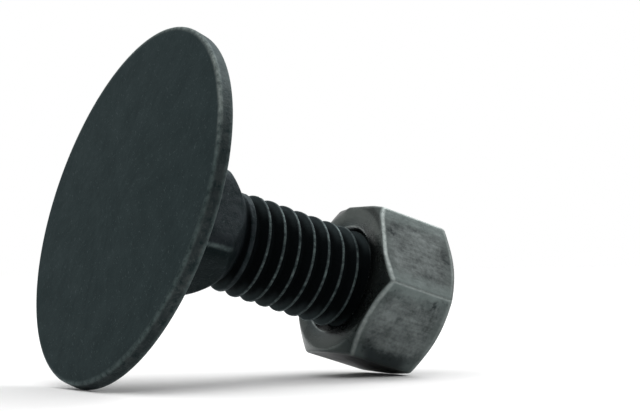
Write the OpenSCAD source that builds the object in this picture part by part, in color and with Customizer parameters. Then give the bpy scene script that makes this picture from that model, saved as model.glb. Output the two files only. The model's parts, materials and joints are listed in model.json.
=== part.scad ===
// Elevator bolt with its hex nut, in millimetres.
// The bolt is one forging: a wide, thin head, a square neck and a threaded shank.
// It lies as it comes to rest, on the rim of its head and on one flat of the nut.
// X runs from the head to the nut, and the floor is at z = 0.

/* [Head] */
// Diameter of the head
head_d = 32.8; // [26:0.1:40]
// Thickness of the rim of the head
rim_t = 1.4; // [1:0.1:2.6]
// Radius that rounds both edges of the rim
rim_round = 0.25; // [0.1:0.05:0.45]
// Diameter of the boss where the sloping underside of the head meets the neck
boss_d = 13; // [12.6:0.1:18]
// Rise of the sloping underside, from the rim to the boss
underside_rise = 1.6; // [0.4:0.1:3]

/* [Neck] */
// Width of the square neck across its flats
neck_w = 9.4; // [8.6:0.1:11]
// Radius of the neck's four corners
neck_corner = 1.75; // [0.5:0.05:2.5]
// Length of the neck, from the boss to the end of its flats
neck_l = 6.8; // [4:0.1:9]
// Angle from the neck's corner to the nut's lowest flat
neck_turn = 15.7; // [0:0.1:45]

/* [Thread] */
// Outside diameter of the thread
thread_d = 9.4; // [8.8:0.05:9.52]
// Distance from one crest to the next
pitch = 1.5875; // [1.25:0.0125:2]
// Length from the underside of the head to the tip
shank_l = 28.575; // [24:0.025:60]
// Width of the chamfer at the tip
tip_chamfer = 0.8; // [0.3:0.05:1.2]
// Distance from the end of the neck's flats to the first groove, measured at its middle
run_out = 0.1; // [-0.2:0.05:1]

/* [Nut] */
// Width of the nut across its flats
nut_w = 14.1; // [13.6:0.05:16]
// Thickness of the nut
nut_t = 8.33; // [6:0.01:10]
// Diameter of the flat ring that is left between the chamfers and the hole
nut_ring_d = 13.6; // [12:0.05:13.6]
// Diameter of the countersink at each end of the hole
countersink_d = 10.2; // [9.8:0.05:11]
// Gap all round between the thread and the plain hole that stands for the nut's own thread
thread_gap = 0.1; // [0.05:0.01:0.15]
// How far the tip stands out of the nut
tip_proud = 0.05; // [0:0.05:3]

/* [Hidden] */
$fn = 96;

// Thread form: 60 degree flanks, a crest of an eighth of the pitch and a root of a sixth
flank_angle = 30;
crest_w = pitch / 8;
root_w = pitch / 6;
thread_r = thread_d / 2;
groove_w = pitch - crest_w;
groove_depth = (groove_w - root_w) / 2 / tan(flank_angle);
// The cutter's flanks go on a little past the crest, and its walls stand clear of the boss
cutter_lip = 0.03;
cutter_r = neck_w;
steps_per_turn = 36;
// Part of a turn over which the first groove grows to its full depth
fade_turns = 0.25;

// Places along the bolt's axis, from the face of the head
boss_z = rim_t + underside_rise;
neck_end_z = boss_z + neck_l;
tip_z = boss_z + shank_l;
nut_far_z = tip_z - tip_proud;
nut_near_z = nut_far_z - nut_t;
nut_chamfer_angle = 30;

// Angle at which the bolt leans when its rim and the nut's flat are both on the floor
head_r = head_d / 2;
nut_flat_r = nut_w / 2;
nut_edge_z = nut_far_z - (nut_flat_r - nut_ring_d / 2) * tan(nut_chamfer_angle);
lean_run = nut_edge_z - rim_t + rim_round;
lean_drop = head_r - rim_round - nut_flat_r;
lean = atan(lean_drop / lean_run) + asin(rim_round / norm([lean_run, lean_drop]));

// Height of the axis at the face of the head, and the middle of the whole length on the floor
face_h = nut_edge_z * sin(lean) + nut_flat_r * cos(lean);
low_x = rim_round * cos(lean) - (head_r - rim_round) * sin(lean) - rim_round;
high_x = nut_far_z * cos(lean) + nut_ring_d / 2 * sin(lean);
middle_x = (low_x + high_x) / 2;

// Turns the bolt's own frame, with its axis along z and its lowest side along x, to how it lies
module lying() {
    translate([-middle_x, 0, face_h]) rotate([0, 90 + lean, 0]) children();
}

// Half of the rim's section: a bar with both outer corners rounded
module rim_section() {
    square([head_r - rim_round, rim_t]);
    translate([0, rim_round]) square([head_r, rim_t - 2 * rim_round]);
    for (z = [rim_round, rim_t - rim_round]) translate([head_r - rim_round, z]) circle(rim_round);
}

// A thin disc with rounded edges, and a low cone under it that carries the neck
module head() {
    rotate_extrude() rim_section();
    translate([0, 0, rim_t]) cylinder(h = underside_rise, r1 = head_r - rim_round, r2 = boss_d / 2);
}

// A square bar with rounded corners, trimmed to a 45 degree cone where it meets the thread
module neck() {
    inner = neck_w - 2 * neck_corner;
    trim_r = neck_w / 2 + neck_l + run_out;
    intersection() {
        rotate([0, 0, neck_turn - 45]) translate([0, 0, rim_t]) linear_extrude(tip_z / 2) {
            square([neck_w, inner], center = true);
            square([inner, neck_w], center = true);
            for (x = [-inner / 2, inner / 2], y = [-inner / 2, inner / 2]) translate([x, y]) circle(neck_corner);
        }
        translate([0, 0, boss_z - 1]) cylinder(h = trim_r + 1, r1 = trim_r + 1, r2 = 0);
    }
}

// Section of the groove at a depth from 0 to 1: its root, its flanks and the walls that clear the bolt
function groove_section(depth) =
    let (
        root_r = thread_r + cutter_lip - depth * (groove_depth + cutter_lip),
        lip_r = thread_r + cutter_lip,
        half_root = root_w / 2,
        half_lip = half_root + (lip_r - root_r) * tan(flank_angle)
    )
    [
        [cutter_r, -half_lip], [lip_r, -half_lip], [root_r, -half_root],
        [root_r, half_root], [lip_r, half_lip], [cutter_r, half_lip],
    ];

// Right-hand helical groove, swept from beside the neck until it has left the tip
module thread_groove() {
    first_z = neck_end_z + run_out;
    turns = (tip_z - first_z) / pitch + 1;
    steps = ceil(turns * steps_per_turn);
    corners = 6;
    points = [
        for (i = [0:steps])
            let (turned = i / steps_per_turn, angle = 360 * turned - 180)
                for (p = groove_section(min(1, (turned + 0.02) / fade_turns)))
                    [p.x * cos(angle), p.x * sin(angle), first_z + turned * pitch + p.y]
    ];
    sides = [
        for (i = [0:steps - 1], j = [0:corners - 1])
            let (a = i * corners + j, b = i * corners + (j + 1) % corners)
                each [[a, a + corners, b], [b, a + corners, b + corners]]
    ];
    near_cap = [for (j = [0:corners - 1]) j];
    far_cap = [for (j = [corners - 1:-1:0]) steps * corners + j];
    polyhedron(points, concat(sides, [near_cap, far_cap]), convexity = 20);
}

// The round shank with its chamfered tip
module shank() {
    cylinder(h = tip_z - tip_chamfer, r = thread_r);
    translate([0, 0, tip_z - tip_chamfer]) cylinder(h = tip_chamfer, r1 = thread_r, r2 = thread_r - tip_chamfer);
}

module bolt() {
    color("darkslategray") lying() {
        head();
        neck();
        difference() {
            shank();
            thread_groove();
        }
    }
}

// Half of the nut's section: chamfered at both ends, wide enough to reach the corners
module nut_section() {
    ring_r = nut_ring_d / 2;
    corner_r = nut_w / 2 / cos(30) + 0.5;
    drop = (corner_r - ring_r) * tan(nut_chamfer_angle);
    polygon([
        [0, 0], [ring_r, 0], [corner_r, drop],
        [corner_r, nut_t - drop], [ring_r, nut_t], [0, nut_t],
    ]);
}

module hex_nut() {
    hole_r = thread_r + thread_gap;
    sink_r = countersink_d / 2;
    sink_t = sink_r - hole_r;
    overrun = 0.5;
    color("dimgray") lying() translate([0, 0, nut_near_z]) difference() {
        intersection() {
            rotate([0, 0, 30]) cylinder(h = nut_t, r = nut_w / 2 / cos(30), $fn = 6);
            rotate_extrude() nut_section();
        }
        translate([0, 0, -overrun]) cylinder(h = nut_t + 2 * overrun, r = hole_r);
        translate([0, 0, -overrun]) cylinder(h = sink_t + overrun, r1 = sink_r + overrun, r2 = hole_r);
        translate([0, 0, nut_t - sink_t]) cylinder(h = sink_t + overrun, r1 = hole_r, r2 = sink_r + overrun);
    }
}

bolt();
hex_nut();
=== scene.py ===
"""Elevator bolt with its hex nut, lying on a pale studio floor."""

import json
import math

import bmesh
import bpy
import numpy as np
from mathutils import Matrix, Quaternion, Vector


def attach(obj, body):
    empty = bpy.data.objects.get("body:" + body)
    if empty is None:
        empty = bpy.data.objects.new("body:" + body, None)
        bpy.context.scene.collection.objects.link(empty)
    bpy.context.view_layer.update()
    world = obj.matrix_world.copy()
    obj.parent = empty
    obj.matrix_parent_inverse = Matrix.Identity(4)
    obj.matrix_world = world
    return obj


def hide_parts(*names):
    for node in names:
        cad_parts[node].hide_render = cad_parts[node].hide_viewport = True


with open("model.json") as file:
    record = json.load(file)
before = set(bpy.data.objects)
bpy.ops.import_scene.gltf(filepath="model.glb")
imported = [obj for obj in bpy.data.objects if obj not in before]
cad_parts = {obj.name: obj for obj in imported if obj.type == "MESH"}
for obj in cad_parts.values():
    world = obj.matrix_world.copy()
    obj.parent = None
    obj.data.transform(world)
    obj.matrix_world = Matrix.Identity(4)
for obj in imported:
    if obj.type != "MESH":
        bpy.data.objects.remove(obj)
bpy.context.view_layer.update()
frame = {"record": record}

# The threaded shank
# The round end of the bolt: a 3/8-16 thread rolled on medium carbon steel, from the neck to a chamfered tip.
# Shapes are in millimetres in the bolt's own frame, with z from the head's face and x toward its low side.
pitch = 1.5875
thread_r = 4.7
thread_inner_r = 3.726
crest_w = pitch / 8
crest_rounding = 0.03
boss_z = 3.0
under_head_l = 28.575
tip_z = boss_z + under_head_l
tip_chamfer = 0.8
tip_rounding = 0.08
closing_turns = 0.4
turns_past_tip = 0.5
neck_end = 9.8
neck_half = 4.7
neck_power = 7.0
neck_turn = math.radians(15.7)
neck_twist = math.radians(0.45)
neck_blend = 0.06
first_groove = 9.9
groove_fade = 0.25
trim_z = first_groove + thread_r
trim_rounding = 0.2
run_in = 3.0
run_in_depth = 0.22
dent_depth = 0.05
dent_scale = 1.1
dent_threshold = 0.52
dent_gain = 6.0
dent_rounding = 0.02
dent_seed = 3.0
shank_start = 8.0
seam_reach = 0.002
bolt_segments = 160
bolt_rows = 24

black_oxide = bpy.data.materials.new("black_oxide")


def fill(tree, socket, value):
    """Sets a socket to a number, or links it where the value is another socket."""
    if isinstance(value, bpy.types.NodeSocket):
        tree.links.new(value, socket)
    else:
        socket.default_value = value


def add(tree, kind, inputs=None, **settings):
    """A new node with its settings and its inputs, which are given by name."""
    made = tree.nodes.new(kind)
    for name, value in settings.items():
        setattr(made, name, value)
    for name, value in (inputs or {}).items():
        fill(tree, made.inputs[name], value)
    return made


def maths(tree, operation, *values):
    """The result of one Math node."""
    made = tree.nodes.new("ShaderNodeMath")
    made.operation = operation
    for socket, value in zip(made.inputs, values):
        fill(tree, socket, value)
    return made.outputs[0]


def less(tree, value, other):
    """The value less the other one."""
    return maths(tree, "SUBTRACT", value, other)


def product(tree, *values):
    """All the values multiplied."""
    result = values[0]
    for value in values[1:]:
        result = maths(tree, "MULTIPLY", result, value)
    return result


def scaled(tree, value, gain, base):
    """The value times a gain, plus a base."""
    return maths(tree, "MULTIPLY_ADD", value, gain, base)


def new_tree(name, kind, inputs, outputs):
    """A node group with named sockets, and its input and output nodes."""
    tree = bpy.data.node_groups.new(name, kind)
    for socket_name, socket_type in inputs.items():
        tree.interface.new_socket(socket_name, in_out="INPUT", socket_type="NodeSocket" + socket_type)
    for socket_name, socket_type in outputs.items():
        tree.interface.new_socket(socket_name, in_out="OUTPUT", socket_type="NodeSocket" + socket_type)
    return tree, tree.nodes.new("NodeGroupInput").outputs, tree.nodes.new("NodeGroupOutput").inputs


def thread_form():
    """Radius of a screw thread at a height and a share of a turn, between its outer and inner radius."""
    numbers = ("Height", "Turn", "First groove", "Pitch", "Crest", "Outer", "Inner", "Rounding", "Fade")
    tree, given, result = new_tree(
        "Thread form", "GeometryNodeTree", dict.fromkeys(numbers, "Float"), {"Radius": "Float"}
    )
    risen = less(tree, given["Height"], given["First groove"])
    place = less(tree, maths(tree, "DIVIDE", risen, given["Pitch"]), given["Turn"])
    groove = maths(tree, "ROUND", place)
    off_groove = product(tree, maths(tree, "ABSOLUTE", less(tree, place, groove)), given["Pitch"])
    half_groove = product(tree, less(tree, given["Pitch"], given["Crest"]), 0.5)
    down_flank = less(tree, half_groove, off_groove)
    flank_slope = math.sqrt(3)
    flank = less(tree, given["Outer"], product(tree, down_flank, flank_slope))
    crest = maths(tree, "SMOOTH_MIN", flank, given["Outer"], given["Rounding"])
    root_rounding = product(tree, given["Rounding"], 4)
    cut = maths(tree, "SMOOTH_MAX", crest, given["Inner"], root_rounding)
    turns_in = maths(tree, "DIVIDE", maths(tree, "ADD", groove, given["Turn"]), given["Fade"])
    full = add(tree, "ShaderNodeClamp", {"Value": turns_in}).outputs[0]
    depth = product(tree, less(tree, given["Outer"], cut), full)
    fill(tree, result["Radius"], less(tree, given["Outer"], depth))
    return tree


def screw_grid(tree, given):
    """A grid whose rows follow the thread, and the turn, angle and height of each of its points."""
    grid = add(
        tree,
        "GeometryNodeMeshGrid",
        {
            "Size X": 1.0,
            "Size Y": 1.0,
            "Vertices X": maths(tree, "ADD", given["Segments"], 1),
            "Vertices Y": maths(tree, "ADD", given["Rows"], 1),
        },
    ).outputs["Mesh"]
    position = add(tree, "GeometryNodeInputPosition").outputs[0]
    place = add(tree, "ShaderNodeSeparateXYZ", {"Vector": position}).outputs
    turn = maths(tree, "ADD", place["X"], 0.5)
    angle = scaled(tree, turn, 2 * math.pi, -math.pi)
    row = product(tree, maths(tree, "ADD", place["Y"], 0.5), given["Rows"])
    risen = maths(tree, "ADD", turn, maths(tree, "DIVIDE", row, given["Rows in a turn"]))
    height = scaled(tree, risen, given["Pitch"], given["Lowest row"])
    return grid, turn, angle, height


def clamp_between(tree, value, low, high):
    """The value, kept between low and high."""
    return maths(tree, "MINIMUM", maths(tree, "MAXIMUM", value, low), high)


def cut_thread(tree, given, turn, height):
    """The radius of the thread at the grid's points."""
    thread = add(tree, "GeometryNodeGroup", node_tree=thread_tree)
    for name in ("First groove", "Pitch", "Crest", "Outer", "Inner", "Rounding"):
        fill(tree, thread.inputs[name], given[name])
    for name, value in (("Height", height), ("Turn", turn), ("Fade", groove_fade)):
        fill(tree, thread.inputs[name], value)
    return thread.outputs["Radius"]


def round_axis(tree, angle, radius, height):
    """The place at an angle, a radius and a height."""
    across = product(tree, radius, maths(tree, "COSINE", angle))
    along = product(tree, radius, maths(tree, "SINE", angle))
    return add(tree, "ShaderNodeCombineXYZ", {"X": across, "Y": along, "Z": height}).outputs[0]


def close_screw(tree, grid, place, material):
    """Puts the grid's points in their places, closes the seam, and gives the mesh its material."""
    mesh = add(tree, "GeometryNodeSetPosition", {"Geometry": grid, "Position": place}).outputs[0]
    mesh = add(tree, "GeometryNodeMergeByDistance", {"Geometry": mesh, "Distance": seam_reach}).outputs[0]
    real = add(tree, "GeometryNodeRealizeInstances", {"Geometry": mesh}).outputs[0]
    return add(tree, "GeometryNodeSetMaterial", {"Geometry": real, "Material": material}).outputs[0]


def grow(tree, values, name):
    """The plain mesh that a geometry tree makes from the values of its named inputs."""
    maker = bpy.data.objects.new(name, bpy.data.meshes.new(name))
    bpy.context.scene.collection.objects.link(maker)
    modifier = maker.modifiers.new(name, "NODES")
    modifier.node_group = tree
    for item in tree.interface.items_tree:
        if item.in_out == "INPUT":
            modifier[item.identifier] = values[item.name]
    ready = maker.evaluated_get(bpy.context.evaluated_depsgraph_get())
    grown = bpy.data.meshes.new_from_object(ready)
    maker.modifiers.remove(modifier)
    bpy.data.objects.remove(maker)
    return grown


def lowest_row(start, rows_in_turn):
    """Height of the first row, one turn below the start, with a row on each edge of the crest."""
    rows = math.floor(((start - first_groove) / pitch - 1) * rows_in_turn)
    return first_groove + pitch * (rows + 0.5) / rows_in_turn


thread_tree = thread_form()
thread_sizes = ("Pitch", "Lowest row", "Start", "End", "First groove", "Crest", "Outer", "Inner", "Rounding")


def screw_tree(name, own_sizes):
    """A new geometry tree with the inputs that every thread has, and with sizes of its own."""
    inputs = dict.fromkeys((*thread_sizes, *own_sizes), "Float")
    inputs.update({"Segments": "Int", "Rows": "Int", "Rows in a turn": "Int", "Material": "Material"})
    return new_tree(name, "GeometryNodeTree", inputs, {"Geometry": "Geometry"})


def screw_values(start, end, turns_past, outer, inner, rounding, segments, rows_in_turn, material):
    """The values of the inputs that every thread has. Its rows may run some turns past its end."""
    low = lowest_row(start, rows_in_turn)
    return {
        "Pitch": pitch,
        "Lowest row": low,
        "Start": start,
        "End": end,
        "First groove": first_groove,
        "Crest": crest_w,
        "Outer": outer,
        "Inner": inner,
        "Rounding": rounding,
        "Segments": segments,
        "Rows": math.ceil(((end - low) / pitch + turns_past) * rows_in_turn),
        "Rows in a turn": rows_in_turn,
        "Material": material,
    }


shank_sizes = {
    "Neck half width": neck_half,
    "Neck squareness": neck_power,
    "Neck turn": neck_turn - math.pi / 4,
    "Neck twist": neck_twist,
    "Neck end": neck_end,
    "Neck blend": neck_blend,
    "Trim height": trim_z,
    "Trim rounding": trim_rounding,
    "Tip chamfer": tip_chamfer,
    "Tip rounding": tip_rounding,
    "Closing turns": closing_turns,
    "Run in": run_in,
    "Run in depth": run_in_depth,
    "Dent depth": dent_depth,
    "Dent scale": dent_scale,
    "Dent threshold": dent_threshold,
    "Dent gain": dent_gain,
    "Dent rounding": dent_rounding,
    "Dent seed": dent_seed,
}


def rolled_shank():
    """The end of the neck, trimmed to a cone, and the threaded shank with its chamfered tip."""
    tree, given, result = screw_tree("Rolled shank", shank_sizes)
    grid, turn, angle, free_height = screw_grid(tree, given)
    height = clamp_between(tree, free_height, given["Start"], given["End"])
    radius = cut_thread(tree, given, turn, height)

    # Dents press the crests in here and there
    spot = round_axis(tree, angle, given["Outer"], height)
    bumps = add(
        tree, "ShaderNodeTexNoise",
        {"Vector": spot, "W": given["Dent seed"], "Scale": given["Dent scale"], "Detail": 3.0},
        noise_dimensions="4D",
    ).outputs["Fac"]
    pressed = maths(tree, "MAXIMUM", less(tree, bumps, given["Dent threshold"]), 0.0)
    pressed = product(tree, pressed, given["Dent gain"])
    limit = less(tree, given["Outer"], product(tree, pressed, given["Dent depth"]))
    starting = add(
        tree, "ShaderNodeMapRange",
        {
            "Value": less(tree, height, given["First groove"]),
            "From Max": given["Run in"],
            "To Min": given["Run in depth"],
            "To Max": 0.0,
        },
        interpolation_type="SMOOTHSTEP",
    ).outputs["Result"]
    limit = less(tree, limit, starting)
    radius = maths(tree, "SMOOTH_MIN", radius, limit, given["Dent rounding"])

    # The neck: a square with round corners, a little askew, cut off by a cone
    twist = product(tree, less(tree, given["Neck end"], height), given["Neck twist"])
    beside = less(tree, less(tree, angle, given["Neck turn"]), twist)
    powers = [
        maths(tree, "POWER", maths(tree, "ABSOLUTE", maths(tree, trig, beside)), given["Neck squareness"])
        for trig in ("COSINE", "SINE")
    ]
    root = maths(tree, "DIVIDE", 1.0, given["Neck squareness"])
    spread = maths(tree, "POWER", maths(tree, "ADD", *powers), root)
    square = maths(tree, "DIVIDE", given["Neck half width"], spread)
    cone = less(tree, given["Trim height"], height)
    neck = maths(tree, "SMOOTH_MIN", square, cone, given["Trim rounding"])
    radius = maths(tree, "SMOOTH_MAX", neck, radius, given["Neck blend"])

    # The chamfered tip, with the rows past it drawn in to the axis
    left = less(tree, given["End"], height)
    taper = maths(tree, "ADD", less(tree, given["Outer"], given["Tip chamfer"]), left)
    radius = maths(tree, "SMOOTH_MIN", radius, taper, given["Tip rounding"])
    past_tip = maths(tree, "DIVIDE", less(tree, free_height, given["End"]), given["Pitch"])
    drawn_in = maths(tree, "DIVIDE", past_tip, given["Closing turns"])
    drawn_in = add(tree, "ShaderNodeClamp", {"Value": drawn_in}).outputs[0]
    radius = product(tree, radius, less(tree, 1.0, drawn_in))
    place = round_axis(tree, angle, radius, height)
    fill(tree, result["Geometry"], close_screw(tree, grid, place, given["Material"]))
    return tree


shank_values = screw_values(
    start=shank_start, end=tip_z, turns_past=turns_past_tip, outer=thread_r, inner=thread_inner_r,
    rounding=crest_rounding, segments=bolt_segments, rows_in_turn=bolt_rows, material=black_oxide,
)
bolt_shank = grow(rolled_shank(), {**shank_values, **shank_sizes}, "bolt_shank")

# The head and the square neck
# The forged end of the same bolt: a wide thin disc with a low cone under it, and a square neck that keeps it
# from turning, joined by a small fillet. Here they are turned ring by ring and welded to the shank.
head_r = 16.4
rim_t = 1.4
rim_round = 0.25
inner_r = head_r - rim_round
back_edge = rim_t - rim_round
boss_r = 6.5
slope = (boss_z - rim_t) / (inner_r - boss_r)
slope_angle = math.atan(slope)
fillet_r = 0.9
face_shift = 0.18
weld_reach = 0.004
sliver = 0.0005

bolt_angles = np.arange(bolt_segments) / bolt_segments * 2 * math.pi - math.pi


def ring(radius, height, angles):
    """Points round the axis. The radius and the height are numbers, or have a value for each angle."""
    radius = radius + 0 * angles
    return np.stack([radius * np.cos(angles), radius * np.sin(angles), height + 0 * angles], axis=1)


def arc(centre_r, centre_z, radius, from_degrees, to_degrees, steps):
    """Radius and height of points along an arc of the section."""
    for degrees in np.linspace(from_degrees, to_degrees, steps + 1):
        turn = math.radians(degrees)
        yield centre_r + radius * math.cos(turn), centre_z + radius * math.sin(turn)


def neck_radius(height):
    """Radius of the square neck at each of the bolt's angles."""
    beside = bolt_angles - neck_turn + math.pi / 4 - neck_twist * (neck_end - height)
    powers = np.abs(np.cos(beside)) ** neck_power + np.abs(np.sin(beside)) ** neck_power
    return neck_half / powers ** (1 / neck_power)


def head_ring(radius, height):
    """A ring of the head, whose face was pressed a little off centre, away from its lowest side."""
    points = ring(radius, height, bolt_angles)
    points[:, 0] -= face_shift * max(0, 1 - height / back_edge) * radius / head_r
    return points


def rings_to_mesh(rings, name):
    """A skin over rings of points."""
    count = len(rings[0])
    step = np.arange(count)
    turned = (step + 1) % count
    faces = []
    for row in range(len(rings) - 1):
        low, high = row * count, (row + 1) * count
        faces += np.stack([low + step, low + turned, high + turned, high + step], axis=1).tolist()
    mesh = bpy.data.meshes.new(name)
    mesh.from_pydata(np.concatenate(rings).tolist(), [], faces)
    return mesh


def weld(meshes, name):
    """One closed mesh of several that share the points along their edges."""
    work = bmesh.new()
    for mesh in meshes:
        work.from_mesh(mesh)
        bpy.data.meshes.remove(mesh)
    bmesh.ops.remove_doubles(work, verts=work.verts, dist=weld_reach)
    bmesh.ops.dissolve_degenerate(work, edges=work.edges, dist=sliver)
    bmesh.ops.holes_fill(work, edges=[edge for edge in work.edges if edge.is_boundary])
    bmesh.ops.recalc_face_normals(work, faces=work.faces)
    for face in work.faces:
        face.smooth = True
    welded = bpy.data.meshes.new(name)
    work.to_mesh(welded)
    work.free()
    return welded


# The section of the head: its face, the rim with both edges rounded, and the cone behind it
face_radii = (0.0, 1.5, 4.0, 7.0, 10.0, 13.0, 15.2, 15.8, 16.05)
head_section = [(r, 0.0) for r in face_radii]
head_section += arc(inner_r, rim_round, rim_round, -90, 0, 6)
head_section += [(head_r, rim_t * share) for share in (0.3, 0.45, 0.6, 0.75)]
head_section += arc(inner_r, back_edge, rim_round, 0, 90 - math.degrees(slope_angle), 6)
cone_radii = (15.7, 14.5, 13.0, 11.5, 10.0, 8.7, 7.8)
head_section += [(r, rim_t + (inner_r - r) * slope) for r in cone_radii]
head_rings = [head_ring(r, z) for r, z in head_section]

# The fillet at the neck's foot, and the neck up to the height where the shank's mesh starts
neck_foot = neck_radius(boss_z + fillet_r)
fillet_z = rim_t + (inner_r - neck_foot - fillet_r) * slope + fillet_r / math.cos(slope_angle)
for share in np.linspace(0, 1, 8):
    turn = math.radians(-90) - slope_angle - share * (math.pi / 2 - slope_angle)
    fillet_ring_r = neck_foot + fillet_r + fillet_r * math.cos(turn)
    head_rings.append(ring(fillet_ring_r, fillet_z + fillet_r * math.sin(turn), bolt_angles))
for share in (0.15, 0.3, 0.5, 0.7, 0.85, 1.0):
    height = fillet_z + (shank_start - fillet_z) * share
    head_rings.append(ring(neck_radius(height), height, bolt_angles))

bolt_mesh = weld([rings_to_mesh(head_rings, "bolt_head"), bolt_shank], "bolt_steel")

# The bolt rests on the rim of its head and on one flat of its nut, and the frame says where its face is
millimetre = 0.001
mounts = {mount["name"]: mount for mount in frame["record"]["mounts"]}
face_centre = Vector(mounts["head_face"]["pos_m"])
axis = -Vector(mounts["head_face"]["axis"]).normalized()
level = Vector((0, 1, 0))
lying = Matrix((level.cross(axis), level, axis)).transposed()
own_to_row = Matrix.Translation(face_centre) @ lying.to_4x4() @ Matrix.Scale(millimetre, 4)


def lay_down(mesh, material, name):
    """The object of a finished mesh, moved from the bolt's own frame to where it lies."""
    mesh.materials.clear()
    mesh.materials.append(material)
    mesh.transform(own_to_row)
    piece = bpy.data.objects.new(name, mesh)
    bpy.context.scene.collection.objects.link(piece)
    return piece


def own_frame(tree):
    """Object coordinates turned to the bolt's own frame, in millimetres."""
    return add(
        tree, "ShaderNodeMapping",
        {
            "Vector": add(tree, "ShaderNodeTexCoord").outputs["Object"],
            "Location": face_centre,
            "Rotation": lying.to_euler(),
            "Scale": (millimetre,) * 3,
        },
        vector_type="TEXTURE",
    ).outputs[0]


def step_up(tree, value, low, high):
    """A smooth step from 0 at low to 1 at high. It runs down where low is the larger."""
    return add(
        tree, "ShaderNodeMapRange", {"Value": value, "From Min": low, "From Max": high},
        interpolation_type="SMOOTHSTEP",
    ).outputs["Result"]


def largest(tree, *values):
    """The largest of the values."""
    result = values[0]
    for value in values[1:]:
        result = maths(tree, "MAXIMUM", result, value)
    return result


def diagonal(tree, across, up):
    """The distance between two places, from how far they are apart across and up."""
    return maths(tree, "SQRT", maths(tree, "ADD", product(tree, across, across), product(tree, up, up)))


def round_axis_group():
    """How far a place is from the bolt's axis, along it and round it."""
    outputs = dict.fromkeys(("Radius", "Height", "Angle"), "Float")
    tree, given, result = new_tree("Round the axis", "ShaderNodeTree", {"Vector": "Vector"}, outputs)
    part = add(tree, "ShaderNodeSeparateXYZ", {"Vector": given["Vector"]}).outputs
    fill(tree, result["Radius"], diagonal(tree, part["X"], part["Y"]))
    fill(tree, result["Height"], part["Z"])
    fill(tree, result["Angle"], maths(tree, "ARCTAN2", part["Y"], part["X"]))
    return tree


def turned_edge_group():
    """A line along an edge that runs round the axis: 1 on the edge, 0 at its width from it."""
    inputs = dict.fromkeys(("Radius", "Height", "Edge radius", "Edge height", "Width"), "Float")
    tree, given, result = new_tree("Turned edge", "ShaderNodeTree", inputs, {"Mask": "Float"})
    out = less(tree, given["Radius"], given["Edge radius"])
    up = less(tree, given["Height"], given["Edge height"])
    fill(tree, result["Mask"], step_up(tree, diagonal(tree, out, up), given["Width"], 0.0))
    return tree


def mottle_group():
    """Soft blotches at two sizes, from 0 to 1 and about 0.5 on average."""
    inputs = {"Vector": "Vector", "Size": "Float", "Contrast": "Float"}
    tree, given, result = new_tree("Mottle", "ShaderNodeTree", inputs, {"Value": "Float"})
    times_finer = 4.3
    fine_share = 0.38
    scale = maths(tree, "DIVIDE", 1.0, given["Size"])
    fine_scale = product(tree, scale, times_finer)
    broad = add(
        tree, "ShaderNodeTexNoise", {"Vector": given["Vector"], "Scale": scale, "Detail": 3.0}
    ).outputs["Fac"]
    fine = add(
        tree, "ShaderNodeTexNoise",
        {"Vector": given["Vector"], "Scale": fine_scale, "Detail": 4.0, "Roughness": 0.65},
    ).outputs["Fac"]
    mixed = scaled(tree, broad, 1 - fine_share, product(tree, fine, fine_share))
    centred = product(tree, less(tree, mixed, 0.5), given["Contrast"])
    clamp = add(tree, "ShaderNodeClamp", {"Value": maths(tree, "ADD", centred, 0.5)})
    fill(tree, result["Value"], clamp.outputs[0])
    return tree


def cover_level(tree, cover):
    """The noise level above which a share of the surface lies, from none of it at 0 to all at 1."""
    return scaled(tree, cover, -0.5, 0.75)


def spots_group():
    """Ragged spots that cover a share of the surface."""
    inputs = {"Vector": "Vector", "Size": "Float", "Cover": "Float", "Softness": "Float", "Detail": "Float"}
    tree, given, result = new_tree("Spots", "ShaderNodeTree", inputs, {"Mask": "Float"})
    scale = maths(tree, "DIVIDE", 1.0, given["Size"])
    noise = add(
        tree, "ShaderNodeTexNoise", {"Vector": given["Vector"], "Scale": scale, "Detail": given["Detail"]}
    ).outputs["Fac"]
    low = cover_level(tree, given["Cover"])
    fill(tree, result["Mask"], step_up(tree, noise, low, maths(tree, "ADD", low, given["Softness"])))
    return tree


def streaks_group():
    """Fine lines along one direction: a soft grain, and the few that are deep enough to be scratches."""
    inputs = {"Vector": "Vector", "Turn": "Vector", "Length": "Float", "Width": "Float", "Cover": "Float"}
    tree, given, result = new_tree(
        "Streaks", "ShaderNodeTree", inputs, {"Grain": "Float", "Scratches": "Float"}
    )
    turned = add(
        tree, "ShaderNodeVectorRotate", {"Vector": given["Vector"], "Rotation": given["Turn"]},
        rotation_type="EULER_XYZ",
    ).outputs[0]
    along, across = (maths(tree, "DIVIDE", 1.0, given[name]) for name in ("Length", "Width"))
    stretch = add(tree, "ShaderNodeCombineXYZ", {"X": across, "Y": across, "Z": along}).outputs[0]
    drawn = add(tree, "ShaderNodeVectorMath", operation="MULTIPLY")
    fill(tree, drawn.inputs[0], turned)
    fill(tree, drawn.inputs[1], stretch)
    noise = add(
        tree, "ShaderNodeTexNoise", {"Vector": drawn.outputs[0], "Scale": 1.0, "Detail": 2.0}
    ).outputs["Fac"]
    fill(tree, result["Grain"], step_up(tree, noise, 0.3, 0.7))
    low = cover_level(tree, given["Cover"])
    fill(tree, result["Scratches"], step_up(tree, noise, low, maths(tree, "ADD", low, 0.06)))
    return tree


effects = {
    "axis": round_axis_group(),
    "edge": turned_edge_group(),
    "mottle": mottle_group(),
    "spots": spots_group(),
    "streaks": streaks_group(),
}


def effect(tree, group, **inputs):
    """The outputs of one of the effects, placed with its own values."""
    made = add(tree, "ShaderNodeGroup", node_tree=effects[group])
    for name, value in inputs.items():
        fill(tree, made.inputs[name.replace("_", " ")], value)
    return made.outputs


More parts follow.
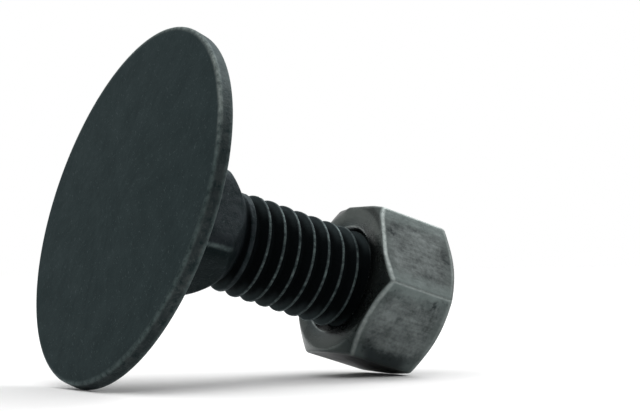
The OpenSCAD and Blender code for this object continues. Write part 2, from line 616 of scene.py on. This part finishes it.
def layer(tree, share, below, above):
    """One colour laid over another where the mask is 1."""
    made = add(tree, "ShaderNodeMix", data_type="RGBA")
    sockets = {socket.identifier: socket for socket in made.inputs}
    fill(tree, sockets["Factor_Float"], share)
    for name, colour in (("A_Color", below), ("B_Color", above)):
        fill(tree, sockets[name], colour if isinstance(colour, bpy.types.NodeSocket) else (*colour, 1))
    return next(socket for socket in made.outputs if socket.identifier == "Result_Color")


face_black = (0.0009, 0.0082, 0.0089)
face_grey = (0.0045, 0.014, 0.0148)
forged_black = (0.0006, 0.0042, 0.005)
forged_grey = (0.011, 0.0142, 0.0165)
forged_blotch = (0.017, 0.0205, 0.024)
# Painted shade for the lower flat of the neck
neck_shade_black = (0.0006, 0.0046, 0.005)
rim_black = (0.004, 0.01, 0.0108)
rim_grey = (0.04, 0.047, 0.0465)
rim_blotch = (0.0055, 0.0095, 0.011)
# Painted light on the rim's upper side
painted_rim_light = (0.048, 0.057, 0.055)
nicked_steel = (0.07, 0.09, 0.09)
# Painted shade in the grooves, and painted light on their flanks
root_shade_black = (0.0008, 0.0018, 0.0024)
flank_shade_black = (0.0007, 0.0016, 0.0022)
flank_light_grey = (0.028, 0.038, 0.04)
# Worn steel, also used for the painted highlight on the neck's corners
rubbed_and_lit_steel = (0.076, 0.1, 0.098)
# Painted highlight on the upper part of the front edge
highlight_steel = (0.155, 0.178, 0.169)


def turned_edge(tree, radius, height, edge_radius, edge_height, width):
    """The mask of a line along an edge that runs round the axis."""
    edge = effect(
        tree, "edge",
        Radius=radius,
        Height=height,
        Edge_radius=edge_radius,
        Edge_height=edge_height,
        Width=width,
    )
    return edge["Mask"]


def radius_from_middle(tree, place, height):
    """Distance from the middle of the head, which moves off the axis toward the face."""
    shift = add(
        tree, "ShaderNodeMapRange",
        {"Value": height, "From Min": 0.0, "From Max": back_edge, "To Min": face_shift, "To Max": 0.0},
    ).outputs["Result"]
    centred = add(tree, "ShaderNodeVectorMath", operation="ADD")
    fill(tree, centred.inputs[0], place)
    fill(tree, centred.inputs[1], add(tree, "ShaderNodeCombineXYZ", {"X": shift}).outputs[0])
    return effect(tree, "axis", Vector=centred.outputs[0])["Radius"]


def angle_past_corner(tree, spot):
    """Angle from a corner of the neck, which is a little twisted."""
    askew = product(tree, less(tree, neck_end, spot["Height"]), neck_twist)
    return less(tree, less(tree, spot["Angle"], neck_turn), askew)


def depth_under_crest(tree, spot):
    """How deep a place lies under the crests, which are lower along the thread's run-in."""
    crest_r = add(
        tree, "ShaderNodeMapRange",
        {
            "Value": spot["Height"],
            "From Min": first_groove,
            "From Max": first_groove + run_in,
            "To Min": thread_r - run_in_depth,
            "To Max": thread_r,
        },
        interpolation_type="SMOOTHSTEP",
    ).outputs["Result"]
    return less(tree, crest_r, spot["Radius"])


def forged_finish(tree, spot, fine, blotch, past_corner):
    """Mottled black behind the face. The lower flat of the neck is darker: painted shade."""
    colour = layer(tree, fine, forged_black, forged_grey)
    colour = layer(tree, product(tree, blotch, 0.45), colour, forged_blotch)
    # Painted shade on the lower flat of the neck
    toward_flat = maths(tree, "COSINE", maths(tree, "ADD", past_corner, math.pi / 4))
    shaded_neck_flat = product(
        tree,
        step_up(tree, toward_flat, 0.68, 0.78),
        step_up(tree, spot["Radius"], 8.5, 6.5),
        step_up(tree, spot["Height"], neck_end + 0.6, neck_end - 0.4),
        0.9,
    )
    return layer(tree, shaded_neck_flat, colour, neck_shade_black)


def rim_finish(tree, fine, blotch, upper_side):
    """Coarser black on the rim, with patches of lighter steel on its upper side: painted light."""
    colour = layer(tree, fine, rim_black, rim_grey)
    colour = layer(tree, product(tree, blotch, 0.7), colour, rim_blotch)
    rim_light_patches = product(tree, upper_side, scaled(tree, blotch, 0.55, 0.05))
    return layer(tree, rim_light_patches, colour, painted_rim_light)


def small_marks(tree, place, blotch):
    """Nicks, scuffs and flecks in the black. The flecks gather in the blotches."""
    nicks = effect(tree, "streaks", Vector=place, Turn=(1.2, 0.5, 0.0), Length=2.2, Width=0.18, Cover=0.19)
    scuffs = effect(tree, "streaks", Vector=place, Turn=(1.9, -0.4, 0.3), Length=5.0, Width=0.14, Cover=0.17)
    flecks = effect(tree, "spots", Vector=place, Size=1.0, Cover=0.07, Softness=0.2, Detail=2.0)["Mask"]
    scratched = largest(tree, nicks["Scratches"], scuffs["Scratches"])
    gathered = scaled(tree, step_up(tree, blotch, 0.45, 0.8), 0.8, 0.1)
    return largest(tree, product(tree, scratched, 0.6), product(tree, flecks, gathered, 0.8))


def inside_groove(tree, height, below_crest):
    """1 in the grooves of the thread, 0 elsewhere."""
    past_start = step_up(tree, height, first_groove, first_groove + 0.8)
    before_tip = step_up(tree, height, tip_z - 0.02, tip_z - 0.2)
    return product(tree, step_up(tree, below_crest, 0.04, 0.14), past_start, before_tip)


def groove_shade_and_light(tree, downward, below_crest):
    """Painted shade and light in the grooves: black at the root and on the flanks as painted shade, and
    greyer flanks along the top and the bottom of the shank as painted light.
    """
    lit_flanks = largest(tree, step_up(tree, downward, -0.45, -0.85), step_up(tree, downward, 0.75, 0.97))
    flank = layer(tree, lit_flanks, flank_shade_black, flank_light_grey)
    return layer(tree, step_up(tree, below_crest, 0.25, 0.75), flank, root_shade_black)


def thin_black_and_highlight(tree, place, spot, rim_radius, upper_side, past_corner, below_crest):
    """Where the black is thin: on the rim's edges, the corners of the neck, the tip and the crests. The
    lines on the neck's corners are wear and painted highlight.
    """
    radius, height = spot["Radius"], spot["Height"]
    front = turned_edge(tree, rim_radius, height, head_r - 0.08, 0.08, 0.36)
    back = turned_edge(tree, radius, height, head_r - 0.02, rim_t - 0.12, 0.4)
    tip = turned_edge(tree, radius, height, thread_r - tip_chamfer, tip_z, 0.3)
    # The neck's corner lines: wear and painted highlight
    off_corner = maths(tree, "PINGPONG", past_corner, math.pi / 4)
    corner = product(
        tree,
        step_up(tree, off_corner, 0.06, 0.0),
        step_up(tree, height, 3.5, 5.0),
        step_up(tree, radius, 5.35, 5.8),
    )
    broken = effect(tree, "mottle", Vector=place, Size=0.45, Contrast=5.0)["Value"]
    crest = product(
        tree,
        step_up(tree, below_crest, 0.075, 0.015),
        step_up(tree, height, first_groove + 0.8, first_groove + 3.4),
        scaled(tree, broken, 0.9, 0.2),
    )
    return largest(
        tree,
        product(tree, front, 0.6),
        product(tree, back, scaled(tree, upper_side, -0.4, 0.55)),
        product(tree, corner, 0.7),
        product(tree, tip, 0.5),
        crest,
    )


def blacken():
    """Black oxide over the whole bolt: even on the face, mottled behind it, rubbed on edges and crests."""
    black_oxide.use_nodes = True
    tree = black_oxide.node_tree
    shader = tree.nodes["Principled BSDF"]
    place = own_frame(tree)
    spot = effect(tree, "axis", Vector=place)
    height = spot["Height"]
    downward = maths(tree, "COSINE", spot["Angle"])
    rim_radius = radius_from_middle(tree, place, height)
    past_corner = angle_past_corner(tree, spot)
    below_crest = depth_under_crest(tree, spot)
    # The upper side of the head, where the rim gets painted light and its back edge line is fainter
    upper_side = step_up(tree, downward, -0.28, -0.68)
    broad, blotch, fine, patchy = (
        effect(tree, "mottle", Vector=place, Size=size, Contrast=contrast)["Value"]
        for size, contrast in ((3.4, 2.9), (1.5, 5.0), (0.75, 4.2), (0.6, 4.0))
    )

    face = layer(tree, broad, face_black, face_grey)
    forged = forged_finish(tree, spot, fine, blotch, past_corner)
    on_rim = step_up(tree, rim_radius, head_r - 0.8, head_r - 0.3)
    forged = layer(tree, on_rim, forged, rim_finish(tree, fine, blotch, upper_side))
    behind_face = step_up(tree, height, 0.05, 0.2)
    colour = layer(tree, behind_face, face, forged)
    marks = small_marks(tree, place, blotch)
    colour = layer(tree, product(tree, marks, 0.5), colour, nicked_steel)
    in_groove = inside_groove(tree, height, below_crest)
    # Painted shade in the grooves, lighter on the flanks at the top and the bottom as painted light
    colour = layer(tree, in_groove, colour, groove_shade_and_light(tree, downward, below_crest))
    # Worn edges and crests, with painted highlight along the neck's corners
    rubbed = thin_black_and_highlight(tree, place, spot, rim_radius, upper_side, past_corner, below_crest)
    rubbed = product(tree, rubbed, scaled(tree, patchy, 1.0, 0.25))
    colour = layer(tree, rubbed, colour, rubbed_and_lit_steel)

    # Painted highlight: a bright steel line along the upper part of the front edge
    upper_edge_highlight = product(
        tree,
        turned_edge(tree, rim_radius, height, head_r - 0.12, 0.04, 0.42),
        step_up(tree, downward, -0.15, -0.6),
        scaled(tree, patchy, 1.0, 0.15),
    )
    colour = layer(tree, upper_edge_highlight, colour, highlight_steel)
    fill(tree, shader.inputs["Base Color"], colour)

    finish = scaled(tree, in_groove, 0.3, scaled(tree, broad, -0.08, 0.6))
    fill(tree, shader.inputs["Roughness"], scaled(tree, rubbed, -0.14, finish))
    shader.inputs["Metallic"].default_value = 0.6
    shader.inputs["Specular IOR Level"].default_value = 0.2
    shader.inputs["Specular Tint"].default_value = (0.85, 0.97, 1.0, 1.0)
    relief = product(tree, fine, scaled(tree, behind_face, 0.8, 0.2))
    relief = less(tree, relief, product(tree, marks, 0.5))
    lift = add(tree, "ShaderNodeBump", {"Height": relief, "Strength": 0.4, "Distance": 0.00005})
    fill(tree, shader.inputs["Normal"], lift.outputs[0])


blacken()
bolt = lay_down(bolt_mesh, black_oxide, "bolt_forging")
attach(bolt, "bolt")
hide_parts("bolt")

# The hex nut
# A cold formed 9/16 inch hex nut of steel, chamfered and countersunk at both ends and tapped right through.
# Its black is thinner than the bolt's, and has worn to a mottled grey that is lightest along the edges.
nut_half = 7.05
nut_t = 8.33
tip_proud = 0.05
nut_far = tip_z - tip_proud
nut_near = nut_far - nut_t
nut_ring_r = 6.8
nut_sink_r = 5.1
nut_corner_round = 0.4
nut_edge_round = 0.3
nut_chamfer = math.radians(30)
full_corner = math.radians(-150)
full_corner_reach = 0.72
full_corner_from = 0.6
ring_margin = 0.08
least_chamfer = 0.04
round_to_hex = 1.2
nut_gap = 0.06
nut_inner_r = 4.05
nut_thread_rounding = 0.02
nut_segments = 180
nut_rows = 16

worn_oxide = bpy.data.materials.new("worn_oxide")


def tapped_bore():
    """The nut's own thread, between a countersink at each end."""
    tree, given, result = screw_tree("Tapped bore", ("Sink",))
    grid, turn, angle, free_height = screw_grid(tree, given)
    height = clamp_between(tree, free_height, given["Start"], given["End"])
    from_start = less(tree, height, given["Start"])
    from_end = less(tree, given["End"], height)
    sink = less(tree, given["Sink"], maths(tree, "MINIMUM", from_start, from_end))
    radius = maths(tree, "MAXIMUM", cut_thread(tree, given, turn, height), sink)
    place = round_axis(tree, angle, radius, height)
    fill(tree, result["Geometry"], close_screw(tree, grid, place, given["Material"]))
    return tree


bore_values = screw_values(
    start=nut_near, end=nut_far, turns_past=0, outer=thread_r + nut_gap, inner=nut_inner_r,
    rounding=nut_thread_rounding, segments=nut_segments, rows_in_turn=nut_rows, material=worn_oxide,
)
nut_bore = grow(tapped_bore(), {**bore_values, "Sink": nut_sink_r}, "nut_bore")

# The outside: rings that are round at the hole and six sided at the wall, with more points at the corners
half_flat_angle = math.pi / 6
even = np.arange(nut_segments) / nut_segments * 2 * math.pi - math.pi
tangent = math.atan((nut_half - nut_corner_round) * math.tan(half_flat_angle) / nut_half)
beside_flat = (even + half_flat_angle) % (2 * half_flat_angle) - half_flat_angle
share_of_flat = beside_flat / half_flat_angle
gathered_to = (-half_flat_angle, -tangent, tangent, half_flat_angle)
gathered = np.interp(share_of_flat, (-1, -0.75, 0.75, 1), gathered_to)
hexed = even - beside_flat + gathered
corner_centre = (nut_half - nut_corner_round) / math.cos(half_flat_angle)
off_corner = half_flat_angle - np.abs(gathered)
inside = np.maximum(nut_corner_round**2 - (corner_centre * np.sin(off_corner)) ** 2, 0)
corner_r = corner_centre * np.cos(off_corner) + np.sqrt(inside)
nut_r = np.where(np.abs(gathered) > tangent, corner_r, nut_half / np.cos(gathered))


def rounded(points, radius, steps):
    """Points along a chain of corners, one for each angle, with every inner corner rounded."""
    share_of_side = 0.45
    chain = [points[0]]
    for before, corner, after in zip(points, points[1:], points[2:]):
        back, ahead = before - corner, after - corner
        back_length = np.linalg.norm(back, axis=1, keepdims=True)
        ahead_length = np.linalg.norm(ahead, axis=1, keepdims=True)
        reach = np.minimum(radius, share_of_side * np.minimum(back_length, ahead_length))
        start = corner + back / back_length * reach
        end = corner + ahead / ahead_length * reach
        for share in np.linspace(0, 1, steps + 1):
            chain.append((1 - share) ** 2 * start + 2 * share * (1 - share) * corner + share**2 * end)
    chain.append(points[-1])
    return chain


def section_point(radius, height):
    """A point of the section at each angle."""
    return np.stack([radius + 0 * even, height + 0 * even], axis=1)


def chamfered_half(ring_r):
    """Half of the nut's section at each angle, from the edge of its hole to the middle of its wall."""
    drop = (nut_r - ring_r) * math.tan(nut_chamfer)
    corners = [(nut_sink_r, 0), (ring_r, 0), (nut_r, drop), (nut_r, nut_t / 2)]
    half = rounded([section_point(r, h) for r, h in corners], nut_edge_round, 5)
    edge_place, middle_place = half[-2:]
    wall = [edge_place + (middle_place - edge_place) * share for share in (0.06, 0.15, 0.3, 0.6)]
    return half[:-1] + wall + half[-1:]


# The chamfer at the near end misses one corner
missed = np.clip((np.cos(hexed - full_corner) - full_corner_from) / (1 - full_corner_from), 0, 1)
missed = missed**2 * (3 - 2 * missed)
near_ring_r = np.minimum(nut_ring_r + full_corner_reach * missed, nut_r - ring_margin)
nut_section = [(place[:, 0], place[:, 1]) for place in chamfered_half(near_ring_r)]
nut_section += [(place[:, 0], nut_t - place[:, 1]) for place in reversed(chamfered_half(nut_ring_r)[:-1])]
nut_rings = []
for radius, height in nut_section:
    share = np.clip((radius.mean() - nut_sink_r) / round_to_hex, 0, 1)
    nut_rings.append(ring(radius, nut_near + height, even + (hexed - even) * share))
nut_mesh = weld([rings_to_mesh(nut_rings, "nut_outside"), nut_bore], "nut_steel")


def hex_wall_group():
    """Where a place is on the nut's outside: how far in from its ends, its chamfers and its corners."""
    inputs = {"Vector": "Vector"}
    inputs.update(dict.fromkeys(("Half width", "Ring radius", "Near", "Far"), "Float"))
    outputs = dict.fromkeys(("Inside end", "Inside chamfer", "Inside corner", "Under flat"), "Float")
    tree, given, result = new_tree("Hex wall", "ShaderNodeTree", inputs, outputs)
    spot = effect(tree, "axis", Vector=given["Vector"])
    beside = maths(tree, "PINGPONG", spot["Angle"], half_flat_angle)
    sideways = product(tree, spot["Radius"], maths(tree, "SINE", beside))
    outward = product(tree, spot["Radius"], maths(tree, "COSINE", beside))
    corner_place = product(tree, given["Half width"], math.tan(half_flat_angle))
    fill(tree, result["Inside corner"], less(tree, corner_place, sideways))
    fill(tree, result["Under flat"], less(tree, given["Half width"], outward))
    from_near = less(tree, spot["Height"], given["Near"])
    from_far = less(tree, given["Far"], spot["Height"])
    inside_end = maths(tree, "MINIMUM", from_near, from_far)
    wall_radius = maths(tree, "DIVIDE", given["Half width"], maths(tree, "COSINE", beside))
    past_ring = less(tree, wall_radius, given["Ring radius"])
    chamfer = largest(tree, product(tree, past_ring, math.tan(nut_chamfer)), least_chamfer)
    fill(tree, result["Inside end"], inside_end)
    fill(tree, result["Inside chamfer"], less(tree, inside_end, chamfer))
    return tree


effects["wall"] = hex_wall_group()


flat_dark = (0.02, 0.025, 0.025)
flat_light = (0.156, 0.176, 0.173)
beside_chamfer = (0.07, 0.084, 0.081)
beside_corner = (0.12, 0.146, 0.141)
end_dark = (0.088, 0.104, 0.098)
end_light = (0.12, 0.138, 0.13)
# Painted shade on the low side of the ends
end_low_shade = (0.04, 0.049, 0.047)
# Painted shade and reflection of the shank round the hole
hole_shade_black = (0.0065, 0.015, 0.0175)
chamfer_grey = (0.046, 0.057, 0.054)
# Painted shade on the top of the chamfer
top_chamfer_shade_grey = (0.02, 0.026, 0.025)
hole_black = (0.006, 0.01, 0.0115)
# Painted shade along the lowest corners and on the lowest flat
underside_shade_grey = (0.018, 0.023, 0.025)
oxide_black = (0.016, 0.021, 0.022)
bright_steel = (0.325, 0.362, 0.352)


def nut_wall(tree, place, spot, near_end):
    """Where a place is on the nut's outside. The chamfer at the near end misses one corner."""
    toward_corner = maths(tree, "COSINE", less(tree, spot["Angle"], full_corner))
    spared = product(tree, step_up(tree, toward_corner, full_corner_from, 1.0), near_end)
    ring_r = scaled(tree, spared, full_corner_reach, nut_ring_r)
    return effect(
        tree, "wall", Vector=place, Half_width=nut_half, Ring_radius=ring_r, Near=nut_near, Far=nut_far
    )


def flat_grey(tree, patch, wall, ragged):
    """The flats: mottled, darker beside the chamfers and lighter beside the corners."""
    colour = layer(tree, patch, flat_dark, flat_light)
    by_chamfer = step_up(tree, maths(tree, "ADD", wall["Inside chamfer"], ragged), 1.4, 0.6)
    by_corner = step_up(tree, maths(tree, "ADD", wall["Inside corner"], ragged), 2.0, 0.5)
    colour = layer(tree, product(tree, by_chamfer, 0.55), colour, beside_chamfer)
    return layer(tree, product(tree, by_corner, 0.65), colour, beside_corner)


def end_grey(tree, radius, downward, broad, ragged):
    """The ends: darker in the hole and on the chamfer. The low side, the top of the chamfer and a ring round
    the hole are darker still: painted shade, and round the hole also a painted reflection of the shank.
    """
    colour = layer(tree, broad, end_dark, end_light)
    low_side_shade = step_up(tree, downward, -0.2, 0.8)
    hole_shade = step_up(tree, scaled(tree, ragged, 0.2, radius), 6.3, 5.2)
    on_chamfer = step_up(tree, radius, nut_ring_r - 0.1, nut_ring_r + 0.3)
    top_chamfer_shade = product(tree, on_chamfer, step_up(tree, downward, -0.4, -0.8))
    in_hole = step_up(tree, radius, nut_sink_r + 0.04, nut_sink_r - 0.1)
    # Painted shade on the low side, round the hole and on the top of the chamfer
    for mask, strength, darker in (
        (low_side_shade, 0.6, end_low_shade),
        (hole_shade, 0.65, hole_shade_black),
        (on_chamfer, 0.85, chamfer_grey),
        (top_chamfer_shade, 0.55, top_chamfer_shade_grey),
        (in_hole, 0.85, hole_black),
    ):
        colour = layer(tree, product(tree, mask, strength), colour, darker)
    return colour


def low_shade(tree, downward, wall, ragged, on_flat):
    """Painted shade along the two lowest corners and on the lowest flat."""
    off_low_corner = maths(tree, "ABSOLUTE", less(tree, downward, 0.84))
    along_corner = step_up(tree, scaled(tree, ragged, 0.05, off_low_corner), 0.1, 0.03)
    off_chamfer = step_up(tree, wall["Inside chamfer"], 0.8, 2.0)
    along_corner = product(tree, along_corner, scaled(tree, off_chamfer, 0.5, 0.35))
    underneath = product(tree, step_up(tree, downward, 0.85, 0.9), on_flat, 0.9)
    return largest(tree, along_corner, underneath)


def left_black(tree, place, wall, on_flat):
    """What is left of the black, in soft ragged spots that gather inside the border of each flat."""
    inward = maths(tree, "MINIMUM", wall["Inside chamfer"], wall["Inside corner"])
    gather = step_up(tree, maths(tree, "ABSOLUTE", less(tree, inward, 1.1)), 1.2, 0.1)
    cover = product(tree, scaled(tree, gather, 0.2, 0.38), on_flat)
    deep = effect(tree, "spots", Vector=place, Size=3.0, Cover=cover, Softness=0.2, Detail=4.0)["Mask"]
    small = effect(tree, "spots", Vector=place, Size=0.55, Cover=0.55, Softness=0.2, Detail=2.0)["Mask"]
    return product(tree, deep, scaled(tree, small, 0.6, 0.35))


def worn_and_lit_edges(tree, spot, wall, downward, near_end):
    """Edges that handling and spanners have rubbed bright, most at the near end. They are brighter on the
    upper side and have no line on the lowest corners: painted highlight.
    """
    off_edge = maths(tree, "ABSOLUTE", less(tree, wall["Inside chamfer"], 0.18))
    chamfer_edge = product(
        tree,
        step_up(tree, off_edge, 0.32, 0.04),
        step_up(tree, wall["Under flat"], 0.4, 0.1),
        scaled(tree, step_up(tree, downward, 0.1, -0.35), 0.55, 0.45),
        scaled(tree, near_end, 0.55, 0.45),
    )
    corner_edge = product(
        tree,
        step_up(tree, wall["Inside corner"], 0.24, 0.05),
        step_up(tree, wall["Inside chamfer"], -0.2, 0.1),
        step_up(tree, downward, 0.8, 0.6),
        0.5,
    )
    sink_edge = turned_edge(tree, spot["Radius"], wall["Inside end"], nut_sink_r, 0.0, 0.2)
    return largest(tree, chamfer_edge, corner_edge, product(tree, sink_edge, 0.4))


def wear_nut():
    """A thin black that has gone a mottled grey, lighter round the edges of the flats than inside them."""
    worn_oxide.use_nodes = True
    tree = worn_oxide.node_tree
    shader = tree.nodes["Principled BSDF"]
    place = own_frame(tree)
    spot = effect(tree, "axis", Vector=place)
    downward = maths(tree, "COSINE", spot["Angle"])
    near_end = step_up(tree, spot["Height"], nut_near + nut_t / 2, nut_near + nut_t / 3)
    wall = nut_wall(tree, place, spot, near_end)
    on_flat = step_up(tree, wall["Under flat"], 0.25, 0.05)
    broad = effect(tree, "mottle", Vector=place, Size=2.2, Contrast=3.6)["Value"]
    fine = effect(tree, "mottle", Vector=place, Size=0.45, Contrast=3.0)["Value"]
    ragged = product(tree, less(tree, fine, 0.5), 0.9)
    grain = effect(tree, "streaks", Vector=place, Turn=(0.0, 0.0, 0.0), Length=3.0, Width=0.35, Cover=0.1)
    cross = effect(tree, "streaks", Vector=place, Turn=(1.5, 0.0, 0.0), Length=2.4, Width=0.3, Cover=0.1)
    lines = scaled(tree, grain["Grain"], 0.55, product(tree, cross["Grain"], 0.45))
    patch = scaled(tree, broad, 0.65, product(tree, lines, 0.35))

    ends = end_grey(tree, spot["Radius"], downward, broad, ragged)
    colour = layer(tree, on_flat, ends, flat_grey(tree, patch, wall, ragged))
    # Painted shade on the low side, where the nut lies on the floor
    underside_shade = low_shade(tree, downward, wall, ragged, on_flat)
    colour = layer(tree, underside_shade, colour, underside_shade_grey)
    left = left_black(tree, place, wall, on_flat)
    colour = layer(tree, left, colour, oxide_black)
    # Worn edges, with painted highlight strongest on the upper side
    edges = worn_and_lit_edges(tree, spot, wall, downward, near_end)
    edges = product(tree, edges, scaled(tree, fine, 1.0, 0.32))
    colour = layer(tree, edges, colour, bright_steel)
    fill(tree, shader.inputs["Base Color"], colour)

    finish = scaled(tree, on_flat, 0.16, scaled(tree, patch, -0.06, 0.29))
    fill(tree, shader.inputs["Roughness"], scaled(tree, left, 0.15, finish))
    shader.inputs["Metallic"].default_value = 0.95
    relief = scaled(tree, lines, 0.4, product(tree, fine, 0.4))
    relief = less(tree, relief, product(tree, left, 0.7))
    lift = add(tree, "ShaderNodeBump", {"Height": relief, "Strength": 0.35, "Distance": 0.00005})
    fill(tree, shader.inputs["Normal"], lift.outputs[0])


wear_nut()
nut = lay_down(nut_mesh, worn_oxide, "hex_nut_steel")
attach(nut, "nut")
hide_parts("hex_nut")

# The setting
# The part lies on a wide pale floor under a white studio ceiling. The side behind the camera is dim, so that
# the steel stays dark, and one soft box lights it from above, from behind and from the right.
bpy.ops.mesh.primitive_circle_add(vertices=96, radius=4.0, fill_type="NGON")
floor = bpy.context.object
floor.name = "floor"
floor_paint = bpy.data.materials.new("floor_paint")
floor_paint.use_nodes = True
floor_shader = floor_paint.node_tree.nodes["Principled BSDF"]
floor_shader.inputs["Base Color"].default_value = (0.93, 0.93, 0.93, 1)
floor_shader.inputs["Roughness"].default_value = 0.9
floor_shader.inputs["Specular IOR Level"].default_value = 0.1
floor.data.materials.append(floor_paint)

front_light = 0.35
back_light = 0.6
ceiling_light = 1.4
back_way = (0.515, 0.857, 0.0)
part_middle = Vector((0, 0, 0.015))
world = bpy.data.worlds.new("studio")
bpy.context.scene.world = world
world.use_nodes = True
studio = world.node_tree
look_way = add(studio, "ShaderNodeTexCoord").outputs["Generated"]
toward_back = add(studio, "ShaderNodeVectorMath", operation="DOT_PRODUCT")
fill(studio, toward_back.inputs[0], look_way)
fill(studio, toward_back.inputs[1], back_way)
up = add(studio, "ShaderNodeSeparateXYZ", {"Vector": look_way}).outputs["Z"]
wall_share = step_up(studio, toward_back.outputs["Value"], -0.6, 0.8)
wall_light = scaled(studio, wall_share, back_light - front_light, front_light)
ceiling_share = step_up(studio, up, 0.3, 0.75)
extra = product(studio, ceiling_share, less(studio, ceiling_light, wall_light))
lit = maths(studio, "ADD", wall_light, extra)
seen = add(studio, "ShaderNodeLightPath").outputs["Is Camera Ray"]
plain_white = product(studio, less(studio, 1.0, lit), seen)
fill(studio, studio.nodes["Background"].inputs["Strength"], maths(studio, "ADD", lit, plain_white))
studio.nodes["Background"].inputs["Color"].default_value = (1, 1, 1, 1)


def soft_box(name, place, width, watts):
    """A square area light that faces the middle of the part."""
    lamp = bpy.data.lights.new(name, "AREA")
    lamp.shape = "SQUARE"
    lamp.size = width
    lamp.energy = watts
    holder = bpy.data.objects.new(name, lamp)
    holder.location = place
    holder.rotation_mode = "QUATERNION"
    holder.rotation_quaternion = (part_middle - Vector(place)).to_track_quat("-Z", "Y")
    bpy.context.scene.collection.objects.link(holder)


soft_box("key_light", place=(0.4, 0.12, 0.42), width=0.3, watts=0.95)

# The camera
# A long lens close above the floor, as in the photograph. The head is on the left of the picture, with its
# face seen at a slant, and the nut is on the right, further back.
camera_place = Vector((-0.079556, -0.145032, 0.010286))
camera_target = Vector((0.014086, 0.012657, 0.016434))
camera_roll = math.radians(-0.914)
camera_data = bpy.data.cameras.new("camera")
camera_data.lens = 101.85
camera_data.sensor_width = 36.0
camera_data.clip_start = 0.01
camera = bpy.data.objects.new("camera", camera_data)
camera.location = camera_place
camera.rotation_mode = "QUATERNION"
look = (camera_target - camera_place).to_track_quat("-Z", "Y")
camera.rotation_quaternion = look @ Quaternion((0, 0, 1), camera_roll)
bpy.context.scene.collection.objects.link(camera)
bpy.context.scene.camera = camera
bpy.context.scene.view_settings.view_transform = "Standard"
